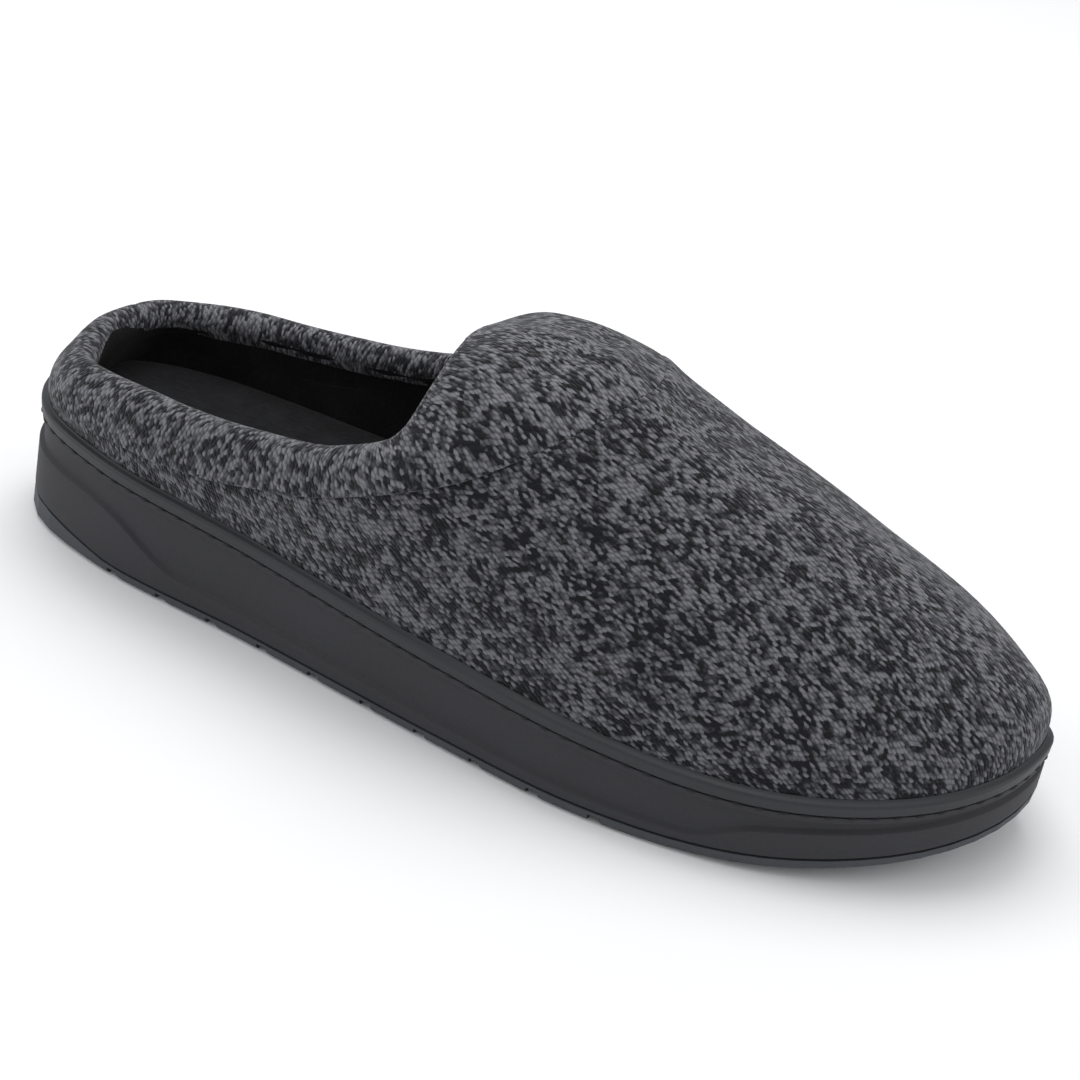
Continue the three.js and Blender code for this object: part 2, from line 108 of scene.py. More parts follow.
class KnitSizes(bpy.types.PropertyGroup):
    """The marled knit of the upper and its collar."""

    stitch_length: bpy.props.FloatProperty(
        name="Stitch length", description="Length of one slanted stitch", default=1.75 * MM, unit="LENGTH")
    stitch_width: bpy.props.FloatProperty(
        name="Stitch width", description="Width of one slanted stitch", default=0.8 * MM, unit="LENGTH")
    relief: bpy.props.FloatProperty(
        name="Relief", description="Height of a stitch above the gaps beside it",
        default=0.35 * MM, unit="LENGTH")
    cloud: bpy.props.FloatProperty(
        name="Cloud", description="Size of the lighter and darker patches", default=11 * MM, unit="LENGTH")
    dark: bpy.props.FloatVectorProperty(
        name="Dark yarn", description="Colour of the charcoal strand",
        default=(0.013, 0.0135, 0.0165), size=3, subtype="COLOR", min=0, max=1)
    light: bpy.props.FloatVectorProperty(
        name="Light yarn", description="Colour of the grey strand",
        default=(0.245, 0.25, 0.272), size=3, subtype="COLOR", min=0, max=1)
    tint: bpy.props.FloatVectorProperty(
        name="Tint", description="Warmer shade that some stitches take on",
        default=(1.0, 0.93, 0.95), size=3, subtype="COLOR", min=0, max=1)


class FleeceSizes(bpy.types.PropertyGroup):
    """The black lining and the cover of the footbed."""

    lining_colour: bpy.props.FloatVectorProperty(
        name="Lining colour", description="Colour of the fleece on the walls",
        default=(0.0032, 0.0032, 0.0036), size=3, subtype="COLOR", min=0, max=1)
    footbed_colour: bpy.props.FloatVectorProperty(
        name="Footbed colour", description="Colour of the fleece underfoot",
        default=(0.0055, 0.0056, 0.0063), size=3, subtype="COLOR", min=0, max=1)
    nap: bpy.props.FloatProperty(
        name="Nap", description="Length of the fleece's tufts", default=0.9 * MM, unit="LENGTH")
    loft: bpy.props.FloatProperty(
        name="Loft", description="Thickness of the lining over the wall", default=2.9 * MM, unit="LENGTH")
    foot_loft: bpy.props.FloatProperty(
        name="Loft at the footbed", description="Thickness of the lining where it meets the footbed",
        default=5.5 * MM, unit="LENGTH")


class SoleSizes(bpy.types.PropertyGroup):
    """The foam sole, its tread and the piping on its edge."""

    foam_colour: bpy.props.FloatVectorProperty(
        name="Foam colour", description="Colour of the moulded foam",
        default=(0.026, 0.026, 0.03), size=3, subtype="COLOR", min=0, max=1)
    tread_colour: bpy.props.FloatVectorProperty(
        name="Tread colour", description="Colour of the tread layer",
        default=(0.045, 0.049, 0.056), size=3, subtype="COLOR", min=0, max=1)
    piping_colour: bpy.props.FloatVectorProperty(
        name="Piping colour", description="Colour of the piping round the upper",
        default=(0.02, 0.0215, 0.0245), size=3, subtype="COLOR", min=0, max=1)
    # Near-black: partly the thread's own colour, partly painted shade of the groove under the piping
    thread_and_groove_shade_colour: bpy.props.FloatVectorProperty(
        name="Thread colour", description="Colour of the sewing thread",
        default=(0.006, 0.006, 0.007), size=3, subtype="COLOR", min=0, max=1)
    grain: bpy.props.FloatProperty(
        name="Grain", description="Size of the grain on the foam", default=0.7 * MM, unit="LENGTH")
    edge: bpy.props.FloatProperty(
        name="Edge", description="Rounding of the sole's moulded edges", default=0.16 * MM, unit="LENGTH")
    stitch_pitch: bpy.props.FloatProperty(
        name="Stitch pitch", description="From one stitch to the next round the piping",
        default=5.6 * MM, unit="LENGTH")


class Socket:
    """One output of a node, on which shader maths is written as an expression."""

    def __init__(self, board, output):
        self.board = board
        self.output = output

    def maths(self, operation, *others):
        values = dict(enumerate((self, *others)))
        return self.board.node("ShaderNodeMath", {"operation": operation}, values)

    def __add__(self, other):
        return self.maths("ADD", other)

    def __radd__(self, other):
        return self.maths("ADD", other)

    def __sub__(self, other):
        return self.maths("SUBTRACT", other)

    def __rsub__(self, other):
        return self.board.node("ShaderNodeMath", {"operation": "SUBTRACT"}, {0: other, 1: self})

    def __mul__(self, other):
        return self.maths("MULTIPLY", other)

    def __rmul__(self, other):
        return self.maths("MULTIPLY", other)

    def smooth(self, low, high):
        """0 below low, 1 above high and a smooth step between them."""
        settings = {"interpolation_type": "SMOOTHSTEP"}
        values = {"Value": self, "From Min": low, "From Max": high}
        return self.board.node("ShaderNodeMapRange", settings, values)


class Board:
    """The nodes of one material, with a plain shader at their end."""

    def __init__(self, name):
        self.material = bpy.data.materials.new(name)
        self.material.use_nodes = True
        self.tree = self.material.node_tree
        self.shader = next(node for node in self.tree.nodes if node.type == "BSDF_PRINCIPLED")

    def node(self, kind, settings, values, output=0):
        """Adds a node: its settings first, then the values or links of its sockets."""
        made = self.tree.nodes.new(kind)
        for name, value in settings.items():
            setattr(made, name, value)
        for name, value in values.items():
            self.feed(made.inputs[name], value)
        return Socket(self, made.outputs[output])

    def feed(self, target, value):
        """Links a socket to another one, or gives it a plain value."""
        if isinstance(value, Socket):
            self.tree.links.new(value.output, target)
        else:
            target.default_value = value

    def object_place(self, scale=(1, 1, 1), turn=(0, 0, 0)):
        """Object coordinates through a Mapping node."""
        place = self.node("ShaderNodeTexCoord", {}, {}, output="Object")
        return self.node("ShaderNodeMapping", {}, {"Vector": place, "Rotation": turn, "Scale": scale})

    def grain(self, place, scale, detail=2.0, roughness=0.5, output="Fac"):
        """Noise with a given number of grains in a unit of the place."""
        values = {"Vector": place, "Scale": scale, "Detail": detail, "Roughness": roughness}
        return self.node("ShaderNodeTexNoise", {}, values, output=output)

    def mix(self, share, first, second, blend="MIX"):
        """A mix of two colours."""
        settings = {"data_type": "RGBA", "blend_type": blend}
        return self.node("ShaderNodeMix", settings, {0: share, 6: opaque(first), 7: opaque(second)}, output=2)

    def bump(self, height, depth, strength=1.0):
        """A Bump node on a height that runs from 0 to 1 over a depth."""
        return self.node("ShaderNodeBump", {}, {"Height": height, "Distance": depth, "Strength": strength})

    def finish(self, **sockets):
        """Feeds the shader's sockets, named as they are with underscores for spaces."""
        for name, value in sockets.items():
            self.feed(self.shader.inputs[name.replace("_", " ")], value)
        return self.material


def opaque(colour):
    """A colour's own value with full alpha, or a socket as it is."""
    return colour if isinstance(colour, Socket) else (*colour, 1)


# The knit: how its rows sway and its stitches stray, and the sizes of its clusters and fibres
SWAY_SIZE = 6 * MM
SWAY = (0.8, 0.8, 0)
LOOSENESS = 0.66
CLUSTER_SIZE = 3.4 * MM
FIBRE = (1.1 * MM, 0.3 * MM)

# What makes a stitch light: its own lot, its cluster and its cloud, over a range from dark to light
LOT_SHARE = 0.5
CLUSTER_SHARE = 0.8
CLOUD_SHARE = 0.7
LIGHT_RANGE = (0.82, 1.24)

# A stitch, from its edge inwards, how light the gaps between stitches stay under painted shade, and the depth
# of its fibres and tint
LOBE_RANGE = (0.16, 0.8)
GAP_LEVEL_UNDER_PAINTED_SHADE = 0.28
FIBRE_DARK = 0.5
TINT_SHARE = 0.5
LOBE_HEIGHT = 0.7
FIBRE_HEIGHT = 0.4
KNIT_BUMP = 0.9
# Overall tone of the vamp's and the collar's copies of the one knit; the collar's is set lighter as painted
# light, for the light that falls on the collar's top
VAMP_BRIGHTNESS = 0.72
BAND_BRIGHTNESS_WITH_PAINTED_LIGHT = 0.79
BAND_TURN = math.radians(8)


def knit_finish(name, turn, brightness):
    """Marled knit: short slanted stitches of dark and light yarn with a soft fuzz, and painted shade in the
    gaps between stitches.
    """
    sizes = bpy.context.scene.slipper_knit
    board = Board(name)
    cloth = board.node("ShaderNodeUVMap", {"uv_map": CLOTH_MAP}, {})
    waver = board.grain(cloth, 1 / SWAY_SIZE, detail=1, output="Color")
    turned = board.node("ShaderNodeMapping", {}, {"Vector": cloth, "Rotation": (0, 0, turn)})
    size = (1 / sizes.stitch_length, 1 / sizes.stitch_width, 1)
    slant = {"Vector": turned, "Scale": size, "Rotation": (0, 0, STAGGER)}
    rows = board.node("ShaderNodeMapping", {}, slant)
    swayed = board.node("ShaderNodeVectorMath", {"operation": "MULTIPLY_ADD"}, {0: waver, 1: SWAY, 2: rows})
    settings = {"voronoi_dimensions": "2D", "feature": "F1"}
    cells = {"Vector": swayed, "Scale": 1.0, "Randomness": LOOSENESS}
    gap = board.node("ShaderNodeTexVoronoi", settings, cells, output="Distance")
    shade = board.node("ShaderNodeTexVoronoi", settings, cells, output="Color")
    lot = board.node("ShaderNodeSeparateColor", {}, {0: shade}, output=0)
    tint = board.node("ShaderNodeSeparateColor", {}, {0: shade}, output=1)
    cloud = board.grain(cloth, 1 / sizes.cloud, detail=3, roughness=0.62)
    cluster = board.grain(cloth, 1 / CLUSTER_SIZE, detail=2, roughness=0.6)
    fibre = (1 / FIBRE[0], 1 / FIBRE[1], 1)
    strands = board.node("ShaderNodeMapping", {}, {"Vector": turned, "Scale": fibre})
    fuzz = board.grain(strands, 1.0, detail=3, roughness=0.7)
    choice = (lot * LOT_SHARE + cluster * CLUSTER_SHARE + cloud * CLOUD_SHARE).smooth(*LIGHT_RANGE)
    lobe = 1 - gap.smooth(*LOBE_RANGE)
    # Painted shade: each stitch's colour darkens from its middle to its edge, into the gaps between stitches
    yarn = choice * (lobe * (1 - GAP_LEVEL_UNDER_PAINTED_SHADE) + GAP_LEVEL_UNDER_PAINTED_SHADE) * (fuzz + FIBRE_DARK)
    lit = board.mix(yarn, sizes.dark, sizes.light)
    tinted = board.mix(tint * TINT_SHARE, lit, sizes.tint, blend="MULTIPLY")
    shown = board.mix(1.0, tinted, (brightness,) * 3, blend="MULTIPLY")
    height = lobe * LOBE_HEIGHT + fuzz * FIBRE_HEIGHT
    return board.finish(
        Base_Color=shown, Roughness=0.95, Sheen_Weight=0.2, Sheen_Roughness=0.45,
        Specular_IOR_Level=0.15, Normal=board.bump(height, sizes.relief, KNIT_BUMP))


# Fleece: its patches, the lighter tips of its tufts and their relief
FLEECE_PATCH = 9 * MM
TIP_LIGHTER = 2.6
TIP_RANGE = (0.4, 0.85)
TUFT_SHARE = 0.7
PATCH_SHARE = 0.5
TUFT_RELIEF = 0.5 * MM
BRUSHED = 0.35


def fleece_finish(name, colour, stretch):
    """Black fleece: short tufts brushed along the foot."""
    sizes = bpy.context.scene.slipper_fleece
    board = Board(name)
    tufts = board.grain(board.object_place((stretch, 1, 1)), 1 / sizes.nap, detail=4, roughness=0.7)
    patch = board.grain(board.object_place(), 1 / FLEECE_PATCH, detail=2)
    light = tuple(TIP_LIGHTER * part for part in colour)
    tone = board.mix((tufts * TUFT_SHARE + patch * PATCH_SHARE).smooth(*TIP_RANGE), colour, light)
    return board.finish(
        Base_Color=tone, Roughness=0.98, Sheen_Weight=0.04, Sheen_Roughness=0.6,
        Specular_IOR_Level=0.08, Normal=board.bump(tufts, TUFT_RELIEF, 0.8))


# Foam: its cloudy marks, how much lighter and rougher they are, and the relief of its grain
FOAM_MARKS = 24 * MM
FOAM_LIGHTER = 1.28
FOAM_RANGE = (0.35, 0.8)
GRAIN_SHARE = 0.55
MARK_SHARE = 0.6
MARK_ROUGHNESS = 0.14
FOAM_BUMP = 0.7


def foam_finish(name, colour, gloss, grain_depth):
    """Moulded foam: matt, with a fine even grain and faint mould marks."""
    sizes = bpy.context.scene.slipper_sole
    board = Board(name)
    place = board.object_place()
    fine = board.grain(place, 1 / sizes.grain, detail=3, roughness=0.6)
    broad = board.grain(place, 1 / FOAM_MARKS, detail=2)
    light = tuple(FOAM_LIGHTER * part for part in colour)
    tone = board.mix((fine * GRAIN_SHARE + broad * MARK_SHARE).smooth(*FOAM_RANGE), colour, light)
    return board.finish(
        Base_Color=tone, Roughness=gloss + MARK_ROUGHNESS * broad, Specular_IOR_Level=0.4,
        Normal=board.bump(fine, grain_depth, FOAM_BUMP))


# Sewing thread: the size and relief of its twist, its slant and how much lighter its strands are
TWIST = 0.4 * MM
TWIST_RELIEF = 0.1 * MM
TWIST_SLANT = (0.6, 0, 0.5)
STRAND_LIGHTER = 3


def thread_finish(name):
    """Sewing thread: dark twisted yarn, its near-black colour partly the thread's own and partly painted
    shade of the groove it lies in.
    """
    sizes = bpy.context.scene.slipper_sole
    board = Board(name)
    place = board.object_place((1, 1, 1), TWIST_SLANT)
    twist = board.grain(place, 1 / TWIST, detail=1)
    light = tuple(STRAND_LIGHTER * part for part in sizes.thread_and_groove_shade_colour)
    tone = board.mix(twist, sizes.thread_and_groove_shade_colour, light)
    return board.finish(Base_Color=tone, Roughness=0.8, Normal=board.bump(twist, TWIST_RELIEF))


def merged_form(node):
    """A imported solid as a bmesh, with its corners merged and its triangles joined in pairs."""
    form = bmesh.new()
    form.from_mesh(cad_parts[node].data)
    bmesh.ops.remove_doubles(form, verts=form.verts, dist=MERGE_DISTANCE)
    bmesh.ops.join_triangles(form, faces=form.faces, angle_face_threshold=math.pi,
                             angle_shape_threshold=math.pi)
    for face in form.faces:
        face.smooth = True
    for edge in form.edges:
        edge.smooth = True
    return form


def solid_tree(node):
    """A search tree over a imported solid."""
    form = bmesh.new()
    form.from_mesh(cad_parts[node].data)
    tree = BVHTree.FromBMesh(form)
    form.free()
    return tree


def crease(form, angle, amount):
    """Keeps edges sharper than an angle crisp under a subdivision surface."""
    layer = form.edges.layers.float.get("crease_edge") or form.edges.layers.float.new("crease_edge")
    for edge in form.edges:
        if edge.calc_face_angle(0) > angle:
            edge[layer] = amount


def piece_from(form, name):
    """An object with the bmesh's shape, in the scene."""
    mesh = bpy.data.meshes.new(name)
    form.to_mesh(mesh)
    form.free()
    piece = bpy.data.objects.new(name, mesh)
    bpy.context.scene.collection.objects.link(piece)
    return piece


def softened(piece, levels, passes=ROUNDING_PASSES):
    """Rounds a piece with a subdivision surface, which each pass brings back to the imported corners."""
    modifier = piece.modifiers.new("Rounding", "SUBSURF")
    modifier.levels = levels
    modifier.render_levels = levels
    coarse = piece.data
    packed = [vertex.co.copy() for vertex in coarse.vertices]
    for _ in range(passes):
        evaluated = piece.evaluated_get(bpy.context.evaluated_depsgraph_get())
        drawn_in = [place - evaluated.data.vertices[index].co for index, place in enumerate(packed)]
        for vertex, move in zip(coarse.vertices, drawn_in):
            vertex.co += move
        coarse.update()
    evaluated = piece.evaluated_get(bpy.context.evaluated_depsgraph_get())
    rounded = bpy.data.meshes.new_from_object(evaluated)
    piece.modifiers.clear()
    piece.data = rounded
    rounded.name = piece.name
    bpy.data.meshes.remove(coarse)
    return piece


def rounded_edges(piece, angle, width):
    """Rounds the edges of a piece that are sharper than an angle."""
    form = bmesh.new()
    form.from_mesh(piece.data)
    sharp = [edge for edge in form.edges if edge.calc_face_angle(0) > angle]
    bmesh.ops.bevel(form, geom=sharp, offset=width, offset_type="OFFSET", affect="EDGES",
                    segments=BEVEL_SEGMENTS, profile=BEVEL_PROFILE, material=-1, clamp_overlap=True)
    for face in form.faces:
        face.smooth = True
    form.to_mesh(piece.data)
    form.free()
    return piece


def refined(piece, is_near, cuts):
    """Splits the faces of a piece more finely where a test of their place says so."""
    form = bmesh.new()
    form.from_mesh(piece.data)
    near = [edge for edge in form.edges if is_near(edge.verts[0].co) and is_near(edge.verts[1].co)]
    bmesh.ops.subdivide_edges(form, edges=near, cuts=cuts, use_grid_fill=True, smooth=REFINED_ROUNDNESS)
    form.to_mesh(piece.data)
    form.free()
    for face in piece.data.polygons:
        face.use_smooth = True
    return piece


def pushed(piece, height_at):
    """Moves each point of a piece along its normal by a height worked out at its place."""
    moves = [vertex.normal * height_at(vertex.co, vertex.normal) for vertex in piece.data.vertices]
    for vertex, move in zip(piece.data.vertices, moves):
        vertex.co += move
    return piece


def hill(distance, width):
    """1 at no distance, falling smoothly to 0 a few widths away."""
    return math.exp(-(distance / width) ** 2)


def ramp(value, low, high):
    """A smooth step from 0 at low to 1 at high."""
    share = min(1.0, max(0.0, (value - low) / (high - low)))
    return share * share * (3 - 2 * share)


def waves(place, size, height):
    """Soft unevenness of a given size and height."""
    return noise.noise(place / size) * height


def line_distance(place, points):
    """The distance from a place to a line through points, and how far along the line that is."""
    best = None
    for index, (start, end) in enumerate(zip(points, points[1:])):
        way = end - start
        share = min(1.0, max(0.0, (place - start).dot(way) / way.length_squared))
        distance = (place - start - way * share).length
        if best is None or distance < best[0]:
            best = (distance, (index + share) / (len(points) - 1))
    return best


def points_mm(rows):
    """Points of a table in millimetres as vectors."""
    return [Vector(row) * MM for row in rows]


def lay_cloth(piece, is_shown, front, behind):
    """Flattens the shown faces of a piece as cloth, cut at the heel, with its first axis front to behind."""
    mesh = piece.data
    heel = min(mesh.vertices, key=lambda vertex: vertex.co.x).co.y
    for edge in mesh.edges:
        ends = [mesh.vertices[index].co for index in edge.vertices]
        edge.use_seam = all(abs(end.y - heel) < HEEL_LINE and end.x < 0 for end in ends)
    for vertex in mesh.vertices:
        vertex.select = False
    for edge in mesh.edges:
        edge.select = False
    for face in mesh.polygons:
        face.select = is_shown(face)
    mesh.uv_layers.new(name=CLOTH_MAP)
    for other in bpy.context.selected_objects:
        other.select_set(False)
    bpy.context.view_layer.objects.active = piece
    bpy.ops.object.mode_set(mode="EDIT")
    bpy.ops.mesh.select_mode(type="FACE")
    bpy.ops.uv.unwrap(method="MINIMUM_STRETCH", iterations=STRETCH_PASSES, margin=0)
    bpy.ops.object.mode_set(mode="OBJECT")
    shown = [face for face in mesh.polygons if face.select]
    cloth = mesh.uv_layers[CLOTH_MAP].data
    flat = sum(flat_area([cloth[loop].uv for loop in face.loop_indices]) for face in shown)
    scale = math.sqrt(sum(face.area for face in shown) / flat)
    toe = cloth_place_near(mesh, cloth, shown, front)
    throat = cloth_place_near(mesh, cloth, shown, behind)
    way = (toe - throat).normalized()
    for corner in cloth:
        offset = (corner.uv - throat) * scale
        corner.uv = (offset.x * way.x + offset.y * way.y, offset.y * way.x - offset.x * way.y)


def flat_area(corners):
    """The area inside a flat polygon."""
    total = 0.0
    for first, second in zip(corners, corners[1:] + corners[:1]):
        total += first.x * second.y - second.x * first.y
    return abs(total) / 2


def cloth_place_near(mesh, cloth, faces, place):
    """The place on the cloth of the shown corner nearest to a place in space."""
    best = None
    for face in faces:
        for loop, index in zip(face.loop_indices, face.vertices):
            distance = (mesh.vertices[index].co - place).length
            if best is None or distance < best[0]:
                best = (distance, cloth[loop].uv.copy())
    return best[1]


def dress(piece, *materials):
    """Gives a piece its materials and lets it ride on the slipper."""
    piece.data.materials.clear()
    for material in materials:
        piece.data.materials.append(material)
    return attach(piece, BODY)


# The axis of the hollow, from the heel to the toe
HOLLOW_HEEL = Vector((-95, 0, 44)) * MM
HOLLOW_TOE = Vector((105, 0, 38)) * MM


def hollow_middle(place):
    """The point on the axis of the hollow that is level with a place."""
    share = (place.x - HOLLOW_HEEL.x) / (HOLLOW_TOE.x - HOLLOW_HEEL.x)
    return HOLLOW_HEEL.lerp(HOLLOW_TOE, min(1.0, max(0.0, share)))


def faces_hollow(face_centre, normal):
    """Whether a face looks into the hollow of the slipper."""
    return normal.dot(hollow_middle(face_centre) - face_centre) > 0


# One stitch below the piping: its length, depth and height, and how far it stands out of the groove
STITCH_SIZE = (3.0 * MM, 1.1 * MM, 0.9 * MM)
STITCH_OUT = 0.1 * MM
STITCH_UP = 0.12 * MM
STITCH_STEPS = 6
STITCH_SEGMENTS = 8
STITCH_RINGS = 6
GROOVE_REACH = 0.8 * MM


def groove_path(steps):
    """The closed line of the groove under the piping, with a number of steps from station to station."""
    rand = solid_tree("rand")
    form = merged_form("midsole")
    ring = [vertex.co.copy() for vertex in form.verts if rand.find_nearest(vertex.co)[3] < GROOVE_REACH]
    form.free()
    ring.sort(key=lambda place: math.atan2(place.y, place.x))
    path = []
    for index in range(len(ring)):
        before, start, end, after = (ring[(index + step) % len(ring)] for step in (-1, 0, 1, 2))
        for step in range(steps):
            share = step / steps
            path.append(start + share * (end - before) / 2
                        + share ** 2 * (before - 2.5 * start + 2 * end - after / 2)
                        + share ** 3 * (after - before + 3 * (start - end)) / 2)
    return [*path, path[0]]


def spaced(path, length, count):
    """Places at even distances along a closed line, each with the line's direction there."""
    places = []
    walked = 0.0
    for start, end in zip(path, path[1:]):
        reach = (end - start).length
        while len(places) < count and len(places) * length / count < walked + reach:
            share = (len(places) * length / count - walked) / reach
            places.append((start.lerp(end, share), (end - start).normalized()))
        walked += reach
    return places


# The soft crease across the tongue and the grooves of the collar's back join, in millimetres
TONGUE_CREASE = points_mm([
    (9.8, 19.5, 91.0), (12.4, 3.1, 95.8), (10.4, -7.8, 96.0), (6.2, -16.4, 94.4), (1.7, -23.6, 91.9),
    (-3.5, -29.0, 88.5),
])
BACK_JOINS = [
    points_mm([(-130.5, 6.2, 55.2), (-126.9, 4.6, 53.6), (-125.6, 4.8, 49.5)]),
    points_mm([(-129.5, 14.2, 55.2), (-126.2, 11.2, 53.9), (-125.0, 9.6, 50.5)]),
]


# The upper: two points that set its cloth's way, and the puffed edge along the collar's seam
VAMP_FRONT = Vector((125, 0, 45)) * MM
VAMP_BEHIND = Vector((30, 0, 90)) * MM
SEAM_REACH = 9 * MM
SEAM_HEIGHT = 40 * MM
SEAM_GROOVE = 0.3 * MM
PUFF_REACH = 2.6 * MM
PUFF_SIDES = 0.45 * MM
PUFF_VAMP = 0.75 * MM
PUFF_START = 0.0
PUFF_END = 22 * MM
VAMP_WAVES = (26 * MM, 0.45 * MM)


class SLIPPER_OT_upper(bpy.types.Operator):
    """Knitted vamp, sides and heel"""

    bl_idname = "slipper.upper"
    bl_label = "Upper"

    def execute(self, context):
        piece = piece_from(merged_form("upper"), "knit_upper")
        lay_cloth(piece, lambda face: not faces_hollow(face.center, face.normal), VAMP_FRONT, VAMP_BEHIND)
        softened(piece, COARSE_LEVELS)
        collar = solid_tree("collar")

        def from_seam(place):
            return collar.find_nearest(place)[3]

        refined(piece, lambda place: from_seam(place) < SEAM_REACH and place.z > SEAM_HEIGHT, 1)

        def height(place, normal):
            if faces_hollow(place, normal):
                return 0.0
            share = max(0.0, from_seam(place) - SEAM_GROOVE) / PUFF_REACH
            swell = PUFF_SIDES + PUFF_VAMP * ramp(place.x, PUFF_START, PUFF_END)
            return swell * share * math.exp(1 - share) + waves(place, *VAMP_WAVES)

        pushed(piece, height)
        dress(piece, knit_finish("marled_knit", 0.0, VAMP_BRIGHTNESS))
        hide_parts("upper")
        return {"FINISHED"}


# The collar: what of it is shown, where its mesh is finer, and its crease, joins and fleece
BAND_FRONT = Vector((28, 0, 92)) * MM
BAND_BEHIND = Vector((-12, 0, 93)) * MM
HIDDEN_REACH = 0.7 * MM
TONGUE_FROM = Vector((-20, 0, 80)) * MM
HEEL_JOINS_FROM = Vector((-118, -4, 0)) * MM
HEEL_JOINS_SIDE = 22 * MM
CREASE_DEPTH = 0.6 * MM
CREASE_WIDTH = 2.4 * MM
FOLD_HEIGHT = 0.8 * MM
FOLD_WIDTH = 3.6 * MM
FOLD_OFFSET = Vector((7.5, -1.5, 0)) * MM
CREASE_FADE_IN = 0.14
CREASE_FADE_OUT = 0.8
JOIN_DEPTH = 0.75 * MM
JOIN_WIDTH = 0.8 * MM
BAND_WAVES = (17 * MM, 0.35 * MM)

# How far the fleece comes up the inner face: less under the tongue than behind it
FLEECE_SLOPE = 0.42
FLEECE_SLOPE_DROP = 0.1
FLEECE_DROP_FROM = -30 * MM
FLEECE_DROP_TO = 0.0


class SLIPPER_OT_collar(bpy.types.Operator):
    """Padded band round the opening, with the crease across the tongue"""

    bl_idname = "slipper.collar"
    bl_label = "Collar"

    def execute(self, context):
        wall = solid_tree("upper")
        piece = piece_from(merged_form("collar"), "knit_collar")

        def is_shown(face):
            return wall.find_nearest(face.center)[3] > HIDDEN_REACH

        lay_cloth(piece, is_shown, BAND_FRONT, BAND_BEHIND)
        softened(piece, COARSE_LEVELS)
        refined(piece, lambda place: place.x > TONGUE_FROM.x and place.z > TONGUE_FROM.z, 1)
        refined(piece, near_heel_joins, 2)

        def height(place, normal):
            distance, along = line_distance(place, TONGUE_CREASE)
            fade = ramp(along, 0.0, CREASE_FADE_IN) * (1 - ramp(along, CREASE_FADE_OUT, 1.0))
            ahead = line_distance(place - FOLD_OFFSET, TONGUE_CREASE)[0]
            fold = FOLD_HEIGHT * hill(ahead, FOLD_WIDTH) - CREASE_DEPTH * hill(distance, CREASE_WIDTH)
            joins = sum(hill(line_distance(place, join)[0], JOIN_WIDTH) for join in BACK_JOINS)
            return fade * fold - JOIN_DEPTH * joins + waves(place, *BAND_WAVES)

        pushed(piece, height)
        mark_fleece(piece)
        # The collar's knit is the lighter copy, painted light for the light on its top
        dress(piece, knit_finish("marled_band", BAND_TURN, BAND_BRIGHTNESS_WITH_PAINTED_LIGHT), lining_material())
        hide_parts("collar")
        return {"FINISHED"}


def near_heel_joins(place):
    """Whether a place lies near the joins at the back of the collar."""
    return place.x < HEEL_JOINS_FROM.x and HEEL_JOINS_FROM.y < place.y < HEEL_JOINS_SIDE


def mark_fleece(piece):
    """Gives the inner face of the collar, below its crest, the lining's material."""
    for face in piece.data.polygons:
        inwards = hollow_middle(face.center) - face.center
        inwards.z = 0
        drop = FLEECE_SLOPE_DROP * ramp(face.center.x, FLEECE_DROP_FROM, FLEECE_DROP_TO)
        low = face.normal.z < FLEECE_SLOPE - drop
        face.material_index = 1 if low and face.normal.dot(inwards) > 0 else 0


def lining_material():
    """The fleece of the walls, made once."""
    made = bpy.data.materials.get("wall_fleece")
    return made or fleece_finish("wall_fleece", bpy.context.scene.slipper_fleece.lining_colour, 1.0)


# How far up the wall the lining is thicker, and the soft unevenness of the lining and the footbed
FOOT_LOFT_REACH = 16 * MM
LINING_WAVES = (14 * MM, 0.5 * MM)
FOOTBED_WAVES = (30 * MM, 0.5 * MM)


class SLIPPER_OT_lining(bpy.types.Operator):
    """Fleece lining on the inside of the wall"""

    bl_idname = "slipper.lining"
    bl_label = "Lining"

    def execute(self, context):
        sizes = context.scene.slipper_fleece
        form = merged_form("upper")
        outside = [face for face in form.faces if not faces_hollow(face.calc_center_median(), face.normal)]
        bmesh.ops.delete(form, geom=outside, context="FACES")
        piece = softened(piece_from(form, "fleece_lining"), COARSE_LEVELS)
        footbed = solid_tree("footbed")

        def height(place, normal):
            low = 1 - ramp(footbed.find_nearest(place)[3], 0.0, FOOT_LOFT_REACH)
            return sizes.loft + (sizes.foot_loft - sizes.loft) * low + waves(place, *LINING_WAVES)

        pushed(piece, height)
        dress(piece, lining_material())
        return {"FINISHED"}


class SLIPPER_OT_footbed(bpy.types.Operator):
    """Padded footbed with a fleece cover"""

    bl_idname = "slipper.footbed"
    bl_label = "Footbed"

    def execute(self, context):
        sizes = context.scene.slipper_fleece
        piece = piece_from(merged_form("footbed"), "fleece_footbed")
        softened(piece, COARSE_LEVELS, passes=0)
        pushed(piece, lambda place, normal: waves(place, *FOOTBED_WAVES) * max(0.0, normal.z))
        dress(piece, fleece_finish("footbed_fleece", sizes.footbed_colour, BRUSHED))
        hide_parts("footbed")
        return {"FINISHED"}


# Roughness and depth of the grain on the piping, the foam and the tread
PIPING_GLOSS = (0.42, 0.06 * MM)
FOAM_GLOSS = (0.62, 0.09 * MM)
TREAD_GLOSS = (0.55, 0.07 * MM)

# Edges of the foam sole that stay crisp
SOLE_EDGE_ANGLE = math.radians(22)


